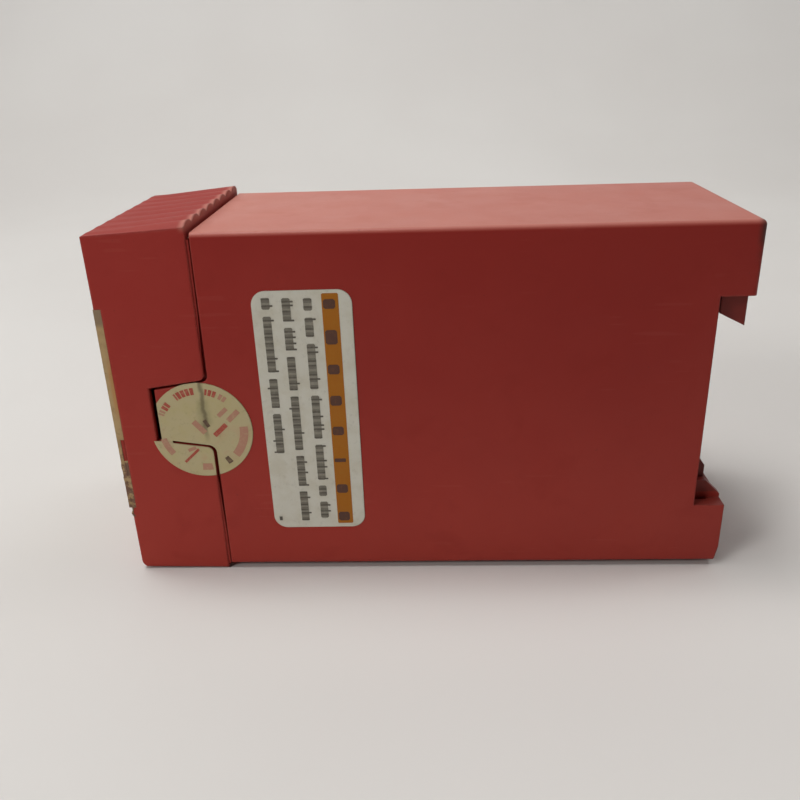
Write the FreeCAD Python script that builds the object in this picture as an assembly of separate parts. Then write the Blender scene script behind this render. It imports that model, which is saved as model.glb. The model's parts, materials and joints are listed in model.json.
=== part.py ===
"""Safety relay for a 35 mm mounting rail.

Frame: millimetres. +X runs from the front plate to the rail side, +Y away from the
labelled side, +Z up as the relay is mounted. The origin is the bottom centre of its box.
"""
import FreeCAD, Part
import math
import os

os.makedirs("parts", exist_ok=True)
Vector = FreeCAD.Vector

# ---------------------------------------------------------------- driving dimensions
# Outer form
overall_length = 125.0
overall_width = 45.0
body_height = 72.2
tongue_drop = 0.3            # of the tongues' middle, below the housing's
device_rise = 0.4            # of the cap's middle, above the tongues'
cap_length = 19.7            # front plate face to the cap's rear edge
seam_gap = 0.7
cap_flare_top = 1.95         # how far the cap's ridges stand above the housing at the seam
cap_flare_bottom = 1.0
cap_flare_chin = 0.6         # the same below the front edge; the brow is level with the housing
cap_front_lean = 0.65        # how far the front face leans out from its foot to its top
cap_brow_radius = 0.4
cap_chin_radius = 1.7
back_corner_radius = 1.0
brow_reach = 0.6             # of the upper lobe's back face, behind the lower one's
toe_chamfer_x = 0.7          # slope at the lower back corner
toe_chamfer_z = 3.6
long_edge_radius = 0.9

# For making solids
over = 1.0                   # how far a cutting tool runs past the surface
bond = 0.5                   # how far a rib or peg sinks into the wall it grows from
fine_radius = 2.6            # round things thinner than this get flat sides
fine_sides = 12
tiny = 1e-4

# Walls and the joint between cap and housing
side_wall = 2.6
end_wall = 2.2
rear_wall = 2.0
front_wall = 2.0
spigot_wall = 1.0
spigot_length = 5.0
cap_fit = 0.2

# Grip ridges along the cap's top and bottom
ridge_count = 8
ridge_height_top = 0.9       # at the seam
ridge_height_bottom = 0.25
ridge_height_front = 0.15    # what is left of both at the front edge

# Snap tongues, one on each side
tongue_length = 11.0
tongue_root_half = 7.05
tongue_tip_half = 5.4
tongue_root_radius = 1.3
tongue_wall = 1.2
tongue_edge_gap = 0.4
tongue_tip_gap = 1.1
barb_height = 1.0
barb_length = 1.6
barb_inset = 1.0             # from the tongue's edges to the barb's ends
catch_bar_length = 1.5
catch_bar_wall = 1.2
catch_play = 0.2
catch_bar_play = 0.1
catch_bar_seat = 2.0         # how far the bar reaches past the window
post_width = 2.0
post_spread = 16.0           # from the device's middle to each stop post

# Front plate and its rebate
terminal_strip = 13.2        # from the cap's inner roof to the front plate's edge
plate_thickness = 1.5
plate_proud = 0.7
plate_chip_top = 5.7         # the chip's edges, below the plate's middle
plate_chip_bottom = 10.9
plate_chip_depth = 3.0
plate_chip_slant = 0.8       # how much narrower the chip is at its deep end

# Rail seat
rail_width = 35.0
rail_flange = 1.0
rail_centre_height = 37.7    # above the housing's bottom
rail_seat_depth = 6.2
hook_headroom = 3.0          # from the rail's upper edge to the roof of the recess
hook_setback = 3.0
hook_lip_play = 0.3
hook_tip_drop = 6.7
hook_slope_drop = 2.5
lobe_below_rail = 6.6        # from the rail's lower edge to the top of the lower lobe

# Rail latch and its pocket
latch_play = 0.3
latch_travel = 4.0
pocket_skin = 1.6
ramp_gap = 0.8
ramp_width = 1.8
ramp_rise = 3.9
ramp_toe = 0.8               # height of the ramp at the back face
ramp_inset = 0.5             # the ramp's foot below the lobe, in from the back face
latch_wing_height = 3.0
latch_stem_width = 16.0
latch_tab_width = 10.0
latch_tab_wall = 2.8
latch_nose_wall = 2.8
latch_overlap = 1.4          # how far the nose reaches over the rail's flange
latch_lead_in = 1.5
latch_lead_slope = 0.8       # of the lead-in, back over forward
latch_lip_play = 0.2         # from the rail's flange to the nose
tab_inset = 0.5              # of the tab, from the latch's inner face
retaining_lip = 1.0
driver_slot_width = 5.0
driver_slot_height = 1.4
floor_gap = 0.2
spring_spread = 12.5         # from the middle to each spring
spring_radius = 1.6
spring_wire = 0.45
spring_turns = 4
spring_steps_per_turn = 8
spring_wire_sides = 5
spring_peg_radius = 1.1
spring_peg_height = 1.8

# Labels on the side
film = 0.12
side_label_length = 19.2
side_label_height = 51.8
side_label_radius = 2.8
side_label_from_seam = 19.9  # from the seam to the label's middle
side_label_drop = 1.0        # of the label's middle, below the device's
side_label_turn = 0.3        # degrees
seal_radius = 10.4
seal_from_seam = 2.2         # from the seam's middle to the seal's
seal_drop = 3.5              # of the seal's middle, below the tongue's
seal_bridge = 2.2            # length of the seal left whole across the slit, from the tongue's tip

# Circuit boards
board = 1.6
board_edge_gap = 0.3
board_face_play = 0.1
board_standoff = 2.9         # from the side wall to a board's solder side
guide_rib_wall = 1.2
guide_rib_height = 1.6
guide_rib_short = 4.0        # the ribs end this far before a board's rear edge
main_board_rear_gap = 2.8
relay_board_rear_gap = 4.8
header_width = 2.5
header_length = 44.0

# Terminals
terminal_pitch = 5.0
terminal_block_height = 10.6
terminal_block_gap = 0.6     # from the front plate's edge to a block
tail_width = 0.8
tail_hole = 1.0
tail_beyond = 1.2            # of a solder tail, past the board
terminal_partition = 0.8
block_skin = 1.0
cage_play = 0.15
cage_length = 6.0
cage_back = 1.0
thread_play = 0.05
screw_end_gap = 0.5          # from a screw's end to the bottom of its hole
wire_hole = 3.0
wire_entry_width = 3.6
wire_entry_height = 3.8
screw_access_radius = 1.9
screw_head_radius = 1.75
screw_head_height = 1.6
screw_shank_radius = 1.25
screw_length = 6.0
screw_slot_width = 0.6
screw_slot_depth = 0.8
pole_offset = 2.4            # from a block's middle to its screw and to its wire hole

# Indicator lights
led_count = 3
led_pitch = 6.5
led_radius = 1.5
led_height = 6.0
led_tip_length = 1.0
led_tip_radius = 0.9
led_side = 13.0              # from the middle plane
led_rise = 6.0               # of the middle light, above the device's middle
light_pipe_play = 0.15

# ---------------------------------------------------------------- derived places
x_front = -overall_length / 2
x_brow = overall_length / 2
x_back = x_brow - brow_reach
y_side = overall_width / 2
z_bottom = cap_flare_bottom
z_top = z_bottom + body_height
z_tongue = (z_bottom + z_top) / 2 - tongue_drop
z_middle = z_tongue + device_rise
x_seam = x_front + cap_length
x_rim = x_seam + seam_gap
x_cap_front = x_front + plate_proud
x_rebate = x_front + plate_thickness

inner_y = y_side - side_wall
inner_bottom = z_bottom + end_wall
inner_top = z_top - end_wall
x_rail = x_back - rail_seat_depth
x_inner_back = x_rail - rear_wall
rail_top = z_bottom + rail_centre_height + rail_width / 2
rail_bottom = rail_top - rail_width
recess_top = rail_top + hook_headroom
recess_bottom = rail_bottom - lobe_below_rail

y_component = inner_y - board_standoff - board   # component faces of both boards, from the middle
x_main_end = x_inner_back - main_board_rear_gap
x_relay_end = x_inner_back - relay_board_rear_gap

cap_side_wall = side_wall - spigot_wall - cap_fit
cap_end_skin = end_wall - spigot_wall - cap_fit
cap_inner_y = y_side - cap_side_wall
cap_inner_bottom = z_bottom + cap_end_skin
cap_inner_top = z_top - cap_end_skin
x_cap_inner = x_cap_front + front_wall
x_spigot = x_rim - spigot_length
plate_height = 2 * (cap_inner_top - z_middle - terminal_strip)
terminal_count = int(2 * cap_inner_y / terminal_pitch)
x_block_front = x_cap_inner + cap_fit
x_pocket_floor = x_spigot - board - 2 * block_skin
x_cage_front = x_pocket_floor - cage_length


# ---------------------------------------------------------------- helpers
def block(x0, x1, y0, y1, z0, z1):
    """A box between two opposite corners."""
    return Part.makeBox(x1 - x0, y1 - y0, z1 - z0, Vector(x0, y0, z0))


def side_profile(points, y0, y1):
    """A closed outline of (x, z) points, drawn out from y0 to y1."""
    corners = [Vector(x, y0, z) for x, z in points]
    face = Part.Face(Part.makePolygon(corners + corners[:1]))
    return face.extrude(Vector(0, y1 - y0, 0))


def ring_of_sides(radius, centre, axis, sides):
    """A closed polygon about an axis."""
    axis = Vector(*axis).normalize()
    upright = Vector(0, 0, 1) if abs(axis.z) < 0.5 else Vector(1, 0, 0)
    across = axis.cross(upright).normalize() * radius
    above = across.cross(axis)
    corners = []
    for side in range(sides):
        angle = 2 * math.pi * side / sides
        corners.append(Vector(*centre) + across * math.cos(angle) + above * math.sin(angle))
    return Part.makePolygon(corners + corners[:1])


def rod(radius, length, start, direction):
    """A round bar or bore; a fine one gets flat sides."""
    if radius >= fine_radius:
        return Part.makeCylinder(radius, length, Vector(*start), Vector(*direction))
    face = Part.Face(ring_of_sides(radius, start, direction, fine_sides))
    return face.extrude(Vector(*direction).normalize() * length)


def round_edges(shape, radius, test):
    """Round the edges of a shape whose two ends both pass a test."""
    edges = [e for e in shape.Edges if len(e.Vertexes) == 2 and test(*[v.Point for v in e.Vertexes])]
    return shape.makeFillet(radius, edges) if edges else shape


def fuse(shapes):
    first, *others = shapes
    return first.multiFuse(others).removeSplitter() if others else first


def export(name, shape):
    """Write one node, as one solid or as a group of separate solids."""
    solids = shape.Solids
    whole = solids[0] if len(solids) == 1 else Part.makeCompound(solids)
    whole.exportStep("parts/" + name + ".step")


def mirrored_y(shape):
    return shape.mirror(Vector(0, 0, 0), Vector(0, 1, 0))


def near(a, b):
    return abs(a - b) < tiny


# ---------------------------------------------------------------- rear housing
def housing_outline():
    """The side view: a box with a rail recess in its back and a sloped lower toe."""
    return [
        (x_rim, z_bottom),
        (x_back - toe_chamfer_x, z_bottom),
        (x_back, z_bottom + toe_chamfer_z),
        (x_back, recess_bottom),
        (x_rail, recess_bottom),
        (x_rail, recess_top),
        (x_brow, recess_top),
        (x_brow, z_top),
        (x_rim, z_top),
    ]


def housing_cavity():
    """The space inside: it reaches into the upper lobe, and stops before the latch pocket."""
    roof = recess_top + rear_wall
    x_mouth = x_rim - over
    points = [
        (x_mouth, inner_bottom),
        (x_inner_back, inner_bottom),
        (x_inner_back, roof),
        (x_brow - rear_wall, roof),
        (x_brow - rear_wall, inner_top),
        (x_mouth, inner_top),
    ]
    return side_profile(points, -inner_y, inner_y)


def spigot():
    """The thin collar that enters the cap."""
    half = inner_y + spigot_wall
    outer = block(x_spigot, x_rim + over, -half, half,
                  inner_bottom - spigot_wall, inner_top + spigot_wall)
    hollow = block(x_spigot - over, x_rim + 2 * over, -inner_y, inner_y, inner_bottom, inner_top)
    return outer.cut(hollow)


def tongue_prism(x_root, x_tip, grow, radius, y0, y1):
    """The tapered form of a snap tongue on its root line, widened by grow, its root corners rounded."""
    root = tongue_root_half + grow
    tip = tongue_tip_half + grow
    foot = root + radius + over
    lower = [(x_root + over, -foot), (x_root, -foot), (x_root, -root), (x_tip, -tip)]
    upper = [(x, -z) for x, z in reversed(lower)]
    prism = side_profile([(x, z_tongue + z) for x, z in lower + upper], y0, y1)
    return round_edges(prism, radius,
                       lambda a, b: near(a.x, x_root) and near(b.x, x_root)
                       and near(a.z, b.z) and near(abs(a.z - z_tongue), root))


def tongue():
    """The near snap tongue: a leaf flush with the side, with a barb inside its tip."""
    x_tip = x_rim - tongue_length
    y_leaf = -y_side + tongue_wall
    leaf = tongue_prism(x_rim, x_tip, 0, tongue_root_radius + tongue_edge_gap, -y_side, y_leaf)
    half = tongue_tip_half - barb_inset
    wedge = [Vector(x_tip, y_leaf, z_tongue - half),
             Vector(x_tip + barb_length, y_leaf, z_tongue - half),
             Vector(x_tip + barb_length, y_leaf + barb_height, z_tongue - half)]
    barb = Part.Face(Part.makePolygon(wedge + wedge[:1])).extrude(Vector(0, 0, 2 * half))
    return leaf.fuse(barb)


def hook():
    """The fixed upper hook, with a sloped underside and a pocket for the rail's flange."""
    half = y_side - hook_setback
    x_lip = x_rail + rail_flange + hook_lip_play
    tip = recess_top - hook_tip_drop
    root = recess_top + over
    return side_profile([(x_back, root), (x_back, tip), (x_lip, tip + hook_slope_drop), (x_lip, root)],
                        -half, half)


def latch_half_width():
    return y_side - side_wall - ramp_gap - ramp_width - latch_play


def latch_pocket():
    """The open pocket in the lower lobe where the latch slides."""
    return block(x_rail, x_back - pocket_skin, -inner_y, inner_y, inner_bottom, recess_bottom + over)


def pocket_lip():
    """The lip along the top of the pocket's skin that keeps the latch in."""
    x_edge = x_rail + latch_play + latch_nose_wall + latch_play
    return block(x_edge, x_back - pocket_skin + bond, -inner_y, inner_y,
                 recess_bottom - retaining_lip, recess_bottom)


def ramp_rib(y_outer):
    """A guide rib beside the latch, with a slope that leads the rail in."""
    x_foot = x_rail - bond
    x_shin = x_back - ramp_inset
    z_foot = inner_bottom - bond
    z_shin = recess_bottom - retaining_lip
    z_peak = recess_bottom + ramp_rise
    points = [
        (x_foot, z_foot),
        (x_shin, z_foot),
        (x_shin, z_shin),
        (x_back, z_shin),
        (x_back, recess_bottom + ramp_toe),
        (x_back - ramp_rise + ramp_toe, z_peak),
        (x_foot, z_peak),
    ]
    return side_profile(points, y_outer, y_outer + ramp_width)


def guide_ribs():
    """Ribs on the floor and the roof that hold both circuit boards by their edges."""
    ribs = []
    y_solder = inner_y - board_standoff
    for side, x_end in ((-1, x_main_end), (1, x_relay_end)):
        for y in (y_solder + board_face_play, y_solder - board - board_face_play - guide_rib_wall):
            y0, y1 = sorted((side * y, side * (y + guide_rib_wall)))
            for z0, z1 in ((inner_bottom - bond, inner_bottom + guide_rib_height),
                           (inner_top - guide_rib_height, inner_top + bond)):
                ribs.append(block(x_rim, x_end - guide_rib_short, y0, y1, z0, z1))
    return ribs


def spring_x():
    return x_rail + latch_play + tab_inset + latch_tab_wall / 2


def spring_pegs():
    return [rod(spring_peg_radius, spring_peg_height + bond,
                (spring_x(), side * spring_spread, inner_bottom - bond), (0, 0, 1)) for side in (-1, 1)]


def tab_way():
    """The opening in the pocket's floor that the latch's tab passes through."""
    half = latch_tab_width / 2 + latch_play
    x0 = x_rail + tab_inset
    return block(x0, x0 + latch_play + latch_tab_wall + latch_play, -half, half,
                 z_bottom - over, inner_bottom + bond)


def rear_housing():
    shell = side_profile(housing_outline(), -y_side, y_side)
    shell = round_edges(shell, back_corner_radius,
                        lambda a, b: near(a.x, x_brow) and near(b.x, x_brow)
                        and near(a.z, z_top) and near(b.z, z_top))
    shell = round_edges(shell, long_edge_radius,
                        lambda a, b: near(a.y, b.y) and near(a.z, b.z)
                        and (near(a.z, z_top) or near(a.z, z_bottom)))
    shell = shell.cut([housing_cavity(), latch_pocket()])
    half = latch_half_width() + latch_play
    grown = [spigot(), tongue(), mirrored_y(tongue()), hook(), pocket_lip(),
             ramp_rib(half), ramp_rib(-half - ramp_width)]
    return shell.multiFuse(grown + guide_ribs() + spring_pegs()).cut(tab_way()).removeSplitter()


# ---------------------------------------------------------------- front cap
def cap_corners(seam_inset_top, seam_inset_bottom, front_inset):
    """The cap's side view, drawn in from the ridges' crests by the given insets."""
    return [
        (x_cap_front, z_bottom - cap_flare_chin + front_inset),
        (x_seam, z_bottom - cap_flare_bottom + seam_inset_bottom),
        (x_seam, z_top + cap_flare_top - seam_inset_top),
        (x_cap_front - cap_front_lean, z_top - front_inset),
    ]


def ridges():
    """Round ridges along the top and bottom, their crests on the cap's outline."""
    chin, heel, crown, brow = [Vector(x, 0, z) for x, z in cap_corners(0, 0, 0)]
    pitch = overall_width / ridge_count
    radius = ((pitch / 2) ** 2 + ridge_height_top ** 2) / (2 * ridge_height_top)
    rows = []
    for index in range(ridge_count):
        y = (index - (ridge_count - 1) / 2) * pitch
        for front, rear, down in ((brow, crown, -1), (chin, heel, 1)):
            along = rear - front
            start = front + Vector(0, y, down * radius)
            rows.append(rod(radius, along.Length + 2 * over, start - along.normalize() * over, along))
    return rows


def cap_shell():
    """The cap's outer form: a plain body with ridges, inside the rounded outline of the crests."""
    outline = side_profile(cap_corners(0, 0, 0), -y_side, y_side)
    outline = round_edges(outline, cap_chin_radius,
                          lambda a, b: near(a.x, x_cap_front) and near(b.x, x_cap_front))
    outline = round_edges(outline, cap_brow_radius,
                          lambda a, b: near(a.x, x_cap_front - cap_front_lean) and near(a.x, b.x))
    plain = side_profile(cap_corners(ridge_height_top, ridge_height_bottom, ridge_height_front),
                         -y_side, y_side)
    return plain.multiFuse(ridges()).common(outline)


def tongue_window():
    """The opening in the cap's near side wall that the snap tongue fills."""
    x_tip = x_rim - tongue_length - tongue_tip_gap
    return tongue_prism(x_seam, x_tip, tongue_edge_gap, tongue_root_radius,
                        -y_side - over, -cap_inner_y + over)


def catch_bar():
    """The bar across the window, inside the cap, that the tongue's barb snaps over."""
    x_bar = x_rim - tongue_length + barb_length + catch_play
    y_bar = -y_side + tongue_wall + catch_bar_play
    half = tongue_root_half + tongue_edge_gap + catch_bar_seat
    return block(x_bar, x_bar + catch_bar_length, y_bar, y_bar + catch_bar_wall,
                 z_tongue - half, z_tongue + half)


def block_middle(up):
    """Height of the middle of the upper (up = 1) or lower (up = -1) terminal block."""
    return z_middle + up * (plate_height / 2 + terminal_block_gap + terminal_block_height / 2)


def pole_places(up):
    """For each terminal of a block: its y, and the heights of its screw and its wire hole."""
    for index in range(terminal_count):
        y = (index - (terminal_count - 1) / 2) * terminal_pitch
        yield y, block_middle(up) + up * pole_offset, block_middle(up) - up * pole_offset


def terminal_openings(up):
    """A round way to each screw and a square way to each wire clamp."""
    x0 = x_front - over
    holes = []
    for y, z_screw, z_wire in pole_places(up):
        holes.append(rod(screw_access_radius, x_cap_inner + over - x0, (x0, y, z_screw), (1, 0, 0)))
        holes.append(block(x0, x_cap_inner + over, y - wire_entry_width / 2, y + wire_entry_width / 2,
                           z_wire - wire_entry_height / 2, z_wire + wire_entry_height / 2))
    return holes


def led_heights():
    for index in range(led_count):
        yield z_middle + led_rise + (index - (led_count - 1) / 2) * led_pitch


def light_holes(x0, x1):
    return [rod(led_radius + light_pipe_play, x1 - x0, (x0, led_side, z), (1, 0, 0))
            for z in led_heights()]


def stop_posts():
    """Four posts inside the cap that press the terminal board against the collar."""
    posts = []
    for side_y in (-1, 1):
        y0, y1 = sorted((side_y * (cap_inner_y + bond), side_y * (cap_inner_y - post_width)))
        for side_z in (-1, 1):
            z = z_middle + side_z * post_spread
            posts.append(block(x_cap_inner - bond, x_spigot - board, y0, y1,
                               z - post_width / 2, z + post_width / 2))
    return posts


def front_cap():
    plate_half = plate_height / 2
    cuts = [
        block(x_cap_inner, x_seam + over, -cap_inner_y, cap_inner_y, cap_inner_bottom, cap_inner_top),
        block(x_front - over, x_rebate, -y_side - over, y_side + over,
              z_middle - plate_half, z_middle + plate_half),
        tongue_window(),
        mirrored_y(tongue_window()),
    ]
    cuts += terminal_openings(1) + terminal_openings(-1)
    cuts += light_holes(x_rebate - over, x_cap_inner + over)
    inner = [catch_bar(), mirrored_y(catch_bar())] + stop_posts()
    return cap_shell().cut(cuts).multiFuse(inner).removeSplitter()


def plate_chip():
    """What is broken out of the plate's near edge, behind its printed face."""
    top = z_middle - plate_chip_top
    bottom = z_middle - plate_chip_bottom
    y_edge = -y_side - over
    y_deep = -y_side + plate_chip_depth
    outline = [
        (y_edge, top),
        (y_deep, top - plate_chip_slant),
        (y_deep, bottom + plate_chip_slant),
        (y_edge, bottom),
    ]
    corners = [Vector(x_cap_front, y, z) for y, z in outline]
    face = Part.Face(Part.makePolygon(corners + corners[:1]))
    return face.extrude(Vector(plate_thickness, 0, 0))


def front_plate():
    """The plate in the cap's rebate."""
    half = plate_height / 2
    plate = block(x_front, x_rebate, -y_side, y_side, z_middle - half, z_middle + half)
    return plate.cut([plate_chip()] + light_holes(x_front - over, x_rebate + over))


# ---------------------------------------------------------------- rail latch
def rail_latch():
    """A sliding foot: wings that the springs lift, a nose over the rail's flange, a tab below."""
    half = latch_half_width()
    x_inner = x_rail + latch_play
    x_outer = x_back - pocket_skin - latch_play
    x_nose = x_inner + latch_nose_wall
    x_lip = x_rail + rail_flange + latch_lip_play
    x_tab = x_inner + tab_inset
    shoulder = recess_bottom - retaining_lip
    nose_top = rail_bottom + latch_overlap
    lip_foot = rail_bottom - latch_play
    stem_bottom = inner_bottom + floor_gap + latch_travel
    nose = side_profile([(x_inner, shoulder), (x_nose, shoulder), (x_nose, nose_top - latch_lead_in),
                         (x_nose - latch_lead_in * latch_lead_slope, nose_top), (x_lip, nose_top),
                         (x_lip, lip_foot), (x_inner, lip_foot)], -half, half)
    wings = block(x_inner, x_outer, -half, half, shoulder - latch_wing_height, shoulder)
    stem = block(x_inner, x_outer, -latch_stem_width / 2, latch_stem_width / 2, stem_bottom, shoulder)
    tab = block(x_tab, x_tab + latch_tab_wall, -latch_tab_width / 2, latch_tab_width / 2,
                z_bottom + floor_gap, stem_bottom + over)
    slot = block(x_inner, x_outer, -driver_slot_width / 2, driver_slot_width / 2,
                 inner_bottom - driver_slot_height, inner_bottom)
    return nose.multiFuse([wings, stem, tab]).cut(slot).removeSplitter()


def latch_springs():
    """The two coil springs between the pocket's floor and the latch's wings."""
    coil_length = recess_bottom - retaining_lip - latch_wing_height - inner_bottom - spring_wire
    steps = spring_turns * spring_steps_per_turn
    springs = []
    for side in (-1, 1):
        centre = Vector(spring_x(), side * spring_spread, inner_bottom + spring_wire / 2)
        points = []
        for step in range(steps + 1):
            angle = 2 * math.pi * step / spring_steps_per_turn
            around = Vector(math.cos(angle), math.sin(angle), 0) * spring_radius
            points.append(centre + around + Vector(0, 0, coil_length * step / steps))
        path = Part.makePolygon(points)
        section = ring_of_sides(spring_wire / 2, points[0], points[1] - points[0], spring_wire_sides)
        springs.append(path.makePipeShell([section], True, True, 1))
    return Part.makeCompound(springs)


# ---------------------------------------------------------------- labels on the near side
def side_label():
    """The tall rectangular label, round-cornered and turned a little."""
    x_mid = x_rim + side_label_from_seam
    z_mid = z_middle - side_label_drop
    sheet = block(x_mid - side_label_length / 2, x_mid + side_label_length / 2, -y_side - film, -y_side,
                  z_mid - side_label_height / 2, z_mid + side_label_height / 2)
    sheet = round_edges(sheet, side_label_radius, lambda a, b: near(a.x, b.x) and near(a.z, b.z))
    sheet.rotate(Vector(x_mid, 0, z_mid), Vector(0, 1, 0), -side_label_turn)
    return sheet


def round_seal_pieces():
    """The round seal, slit along the tongue's lower edge and the seam below, and cut off at the tip.

    Its two parts, on the cap and on the housing, still meet in a short bridge at the tongue's tip.
    """
    x_mid = x_rim - seam_gap / 2 - seal_from_seam
    z_mid = z_tongue - seal_drop
    x_tip = x_rim - tongue_length
    x_line = x_rim - seam_gap / 2
    z_low = z_mid - 2 * seal_radius
    z_high = z_mid + 2 * seal_radius
    y0, y1 = -y_side - over, -y_side + over
    disc = rod(seal_radius, film, (x_mid, -y_side - film, z_mid), (0, 1, 0))
    window = tongue_prism(x_seam, x_tip - tongue_tip_gap, tongue_edge_gap, tongue_root_radius, y0, y1)
    leaf = tongue_prism(x_rim, x_tip, 0, tongue_root_radius + tongue_edge_gap, y0, y1)
    open_end = block(x_tip + seal_bridge, x_rim, y0, y1, z_low, z_tongue)
    seam = block(x_seam, x_rim, y0, y1, z_low, z_tongue - tongue_root_half)
    beyond_tip = block(x_mid - 2 * seal_radius, x_tip, y0, y1,
                       z_tongue - tongue_tip_half - tongue_edge_gap, z_high)
    whole = disc.cut([window.cut(leaf).common(open_end), seam.cut(leaf), beyond_tip])
    on_tongue = tongue_prism(x_line, x_tip - tongue_tip_gap, tongue_edge_gap / 2,
                             tongue_root_radius, y0, y1)
    on_housing = on_tongue.fuse(block(x_line, x_mid + 2 * seal_radius, y0, y1, z_low, z_high))
    below_tongue = block(x_mid - 2 * seal_radius, x_line, y0, y1, z_low, z_tongue)
    return whole.cut(on_housing).common(below_tongue), whole.common(on_housing)


# ---------------------------------------------------------------- circuit boards
def long_board(side, x_end):
    y_face = side * y_component
    y0, y1 = sorted((y_face, y_face + side * board))
    return block(x_spigot, x_end, y0, y1, inner_bottom, inner_top - board_edge_gap)


def tail_places(up):
    for y, _, _ in pole_places(up):
        yield y, block_middle(up)


def tail_ways(x0, x1, up):
    """Square ways for the solder tails of one terminal row."""
    half = tail_hole / 2
    return [block(x0, x1, y - half, y + half, z - half, z + half) for y, z in tail_places(up)]


def terminal_board():
    """The upright board behind the terminals, resting on the collar's front edge."""
    half = cap_inner_y - board_edge_gap
    sheet = block(x_spigot - board, x_spigot, -half, half,
                  cap_inner_bottom + board_edge_gap, cap_inner_top - board_edge_gap)
    x0 = x_spigot - board - over
    return sheet.cut(tail_ways(x0, x_spigot + over, 1) + tail_ways(x0, x_spigot + over, -1))


def header(side):
    """The plug strip that joins a long board to the terminal board."""
    y0, y1 = sorted((side * y_component, side * (y_component - header_width)))
    return block(x_spigot, x_spigot + header_width, y0, y1,
                 z_middle - header_length / 2, z_middle + header_length / 2)


# ---------------------------------------------------------------- terminals
def terminal_block(up):
    """The moulded comb with one pocket for each terminal, open to the front."""
    half = terminal_count * terminal_pitch / 2
    z_mid = block_middle(up)
    body = block(x_block_front, x_spigot - board, -half, half,
                 z_mid - terminal_block_height / 2, z_mid + terminal_block_height / 2)
    half_y = (terminal_pitch - terminal_partition) / 2
    half_z = terminal_block_height / 2 - block_skin
    x0 = x_block_front - over
    pockets = [block(x0, x_pocket_floor, y - half_y, y + half_y, z - half_z, z + half_z)
               for y, z in tail_places(up)]
    return body.cut(pockets + tail_ways(x_pocket_floor - over, x_spigot, up))


def terminal_cages(up):
    """Metal clamp bodies with a square wire hole, a screw hole and a solder tail."""
    half_y = (terminal_pitch - terminal_partition) / 2 - cage_play
    half_z = terminal_block_height / 2 - block_skin - cage_play
    half_tail = tail_width / 2
    half_wire = wire_hole / 2
    x_ahead = x_cage_front - over
    z = block_middle(up)
    cages = []
    for y, z_screw, z_wire in pole_places(up):
        cage = block(x_cage_front, x_pocket_floor, y - half_y, y + half_y, z - half_z, z + half_z)
        tail = block(x_pocket_floor - cage_back, x_spigot + tail_beyond, y - half_tail, y + half_tail,
                     z - half_tail, z + half_tail)
        wire_way = block(x_ahead, x_pocket_floor - cage_back, y - half_wire, y + half_wire,
                         z_wire - half_wire, z_wire + half_wire)
        screw_way = rod(screw_shank_radius + thread_play, screw_length,
                        (x_ahead, y, z_screw), (1, 0, 0))
        cages.append(cage.fuse(tail).cut([wire_way, screw_way]))
    return Part.makeCompound(cages)


def terminal_screws(up):
    screws = []
    x_head = x_cage_front - screw_head_height
    shank_length = screw_length - over - screw_end_gap
    half_slot = screw_slot_width / 2
    reach = screw_head_radius + over
    for y, z, _ in pole_places(up):
        head = rod(screw_head_radius, screw_head_height, (x_cage_front, y, z), (-1, 0, 0))
        shank = rod(screw_shank_radius, shank_length, (x_cage_front, y, z), (1, 0, 0))
        slot = block(x_head - over, x_head + screw_slot_depth, y - reach, y + reach,
                     z - half_slot, z + half_slot)
        screws.append(head.fuse(shank).cut(slot))
    return Part.makeCompound(screws)


# ---------------------------------------------------------------- indicator lights
def status_leds():
    """Round lamps on the terminal board, each with a tapered tip."""
    x_board = x_spigot - board
    x_shoulder = x_board - led_height + led_tip_length
    leds = []
    for z in led_heights():
        body = rod(led_radius, x_board - x_shoulder, (x_board, led_side, z), (-1, 0, 0))
        shoulder = ring_of_sides(led_radius, (x_shoulder, led_side, z), (-1, 0, 0), fine_sides)
        tip = ring_of_sides(led_tip_radius, (x_board - led_height, led_side, z), (-1, 0, 0), fine_sides)
        leds.append(body.fuse(Part.makeLoft([shoulder, tip], True, True)).removeSplitter())
    return Part.makeCompound(leds)


def light_pipes():
    """Clear rods from the lamps to the face of the front plate."""
    x_tip = x_spigot - board - led_height
    return Part.makeCompound([rod(led_radius, x_tip - x_front, (x_front, led_side, z), (1, 0, 0))
                              for z in led_heights()])


# ---------------------------------------------------------------- parts on the boards
def on_board(side, x, z, length, height, rise):
    """A box on a long board: x and z are its lower front corner, rise is its height off the board."""
    y0, y1 = sorted((side * y_component, side * (y_component - rise)))
    return block(x, x + length, y0, y1, z, z + height)


def can(side, x, z, radius, rise):
    """A round can standing on a long board."""
    return rod(radius, rise, (x, side * y_component, z), (0, -side, 0))


# Guided-contact relays, sealed: two main ones and one auxiliary one
relay_length = 40.0
relay_height = 13.0
relay_rise = 16.5
relay_from_front = 4.0
relay_below_roof = 2.7
relay_pitch = 16.0
relay_corner = 0.8
small_relay_length = 24.0
small_relay_height = 12.0
small_relay_rise = 15.0
small_relay_from_rear = 5.0
small_relay_above_floor = 8.0

# Mains transformer
core_length = 28.0
core_height = 26.0
core_stack = 15.0
core_limb = 4.5
core_from_rear = 6.0
core_below_roof = 4.2
coil_overhang = 4.5
coil_corner = 2.5
bobbin_gap = 0.3

# Capacitors
main_can_radius = 8.0
main_can_rise = 22.0
main_can_from_front = 12.0
main_can_above_floor = 12.0
small_can_radius = 4.0
small_can_rise = 12.0
small_can_from_front = 25.0
small_can_pitch = 9.5
small_can_count = 2
small_can_above_floor = 10.0

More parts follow.
